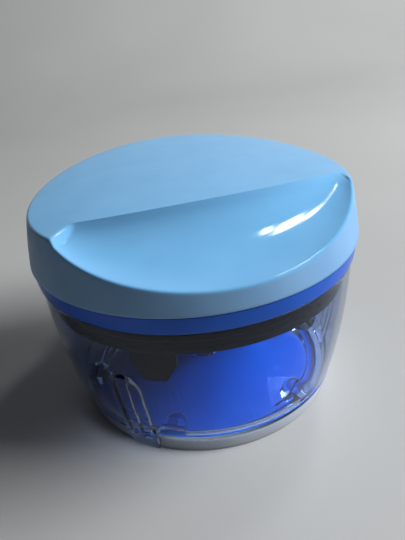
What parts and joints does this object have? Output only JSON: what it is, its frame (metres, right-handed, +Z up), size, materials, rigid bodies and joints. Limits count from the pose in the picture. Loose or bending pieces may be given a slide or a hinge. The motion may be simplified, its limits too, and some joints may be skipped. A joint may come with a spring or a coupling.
{
  "type": "pull-cord food chopper",
  "caption": "Round hand chopper with a tinted bowl, blades on a central column, and a scooped lid whose pull cord spins them.",
  "frame": {"origin": "centre of the base's flat underside, on the bowl's axis", "axes": "+Z up along the bowl's axis, -Y towards the lid's palm scoop, +Y towards the pull handle"},
  "size_m": [0.1338, 0.1435, 0.0935],
  "materials": {
    "lid_blue": "light blue, satin side band, glossy scoop",
    "housing_blue": "royal blue, semi-gloss",
    "disc_blue": "royal blue, even, semi-gloss",
    "seal_dark": "near black, matte",
    "base_grip": "light grey-blue soft grip, matte",
    "bowl_clear": "clear, smoky blue tint",
    "column_plastic": "royal blue, fine satin",
    "mechanism_plastic": "natural white, matte",
    "steel": "ground and brushed",
    "pin_steel": "polished",
    "spring_steel": "blued strip",
    "cord": "white braided polyester"
  },
  "bodies": {
    "bowl_unit": {"bowl": "bowl_clear", "non_slip_base": "base_grip", "base_disc": "disc_blue", "bowl_pivot_pin": "pin_steel"},
    "blades": {"blade_column": "column_plastic", "blade_lower": "steel", "blade_middle": "steel", "blade_upper": "steel"},
    "lid": {"lid_top_cover": "lid_blue", "lid_lower_housing": "housing_blue", "lid_seal": "seal_dark", "lid_screws": "pin_steel", "hub_washer": "pin_steel", "reel_axle": "pin_steel", "cord_eyelet": "pin_steel", "cord_inner_run": "cord", "recoil_spring": "spring_steel", "spring_cup": "mechanism_plastic", "spring_cover": "mechanism_plastic", "mechanism_screws": "pin_steel"},
    "hub": {"drive_hub": "column_plastic", "hub_circlip": "spring_steel", "clutch_ratchet": "mechanism_plastic"},
    "reel": {"cord_reel": "mechanism_plastic", "clutch_pawls": "mechanism_plastic", "pawl_pins": "pin_steel", "cord_on_reel": "cord"},
    "handle": {"pull_handle": "lid_blue", "cord_outer_run": "cord", "cord_knot": "cord", "handle_cap": "housing_blue"}
  },
  "joints": [
    {"name": "lid_lift", "type": "slide", "parent": "bowl_unit", "child": "lid", "axis": [0, 0, 1], "range_m": [0, 0.09]},
    {"name": "handle_pull", "type": "slide", "parent": "lid", "child": "handle", "axis": [0, 1, 0], "range_m": [0, 0.3], "stiffness_N_per_m": 20, "springref_m": -0.1},
    {"name": "reel_spin", "type": "hinge", "parent": "lid", "child": "reel", "pos_m": [0, 0, 0.076], "axis": [0, 0, 1], "range_deg": [0, 1181.4]},
    {"name": "hub_spin", "type": "hinge", "parent": "lid", "child": "hub", "pos_m": [0, 0, 0.06], "axis": [0, 0, 1], "range_deg": [0, 1181.4]},
    {"name": "blade_spin", "type": "hinge", "parent": "bowl_unit", "child": "blades", "pos_m": [0, 0, 0.03], "axis": [0, 0, 1], "range_deg": [0, 1181.4]}
  ],
  "couplings": [
    {"joint": "reel_spin", "follows": "handle_pull", "rad_per_m": 67.568},
    {"joint": "hub_spin", "follows": "handle_pull", "rad_per_m": 67.568},
    {"joint": "blade_spin", "follows": "handle_pull", "rad_per_m": 67.568}
  ]
}
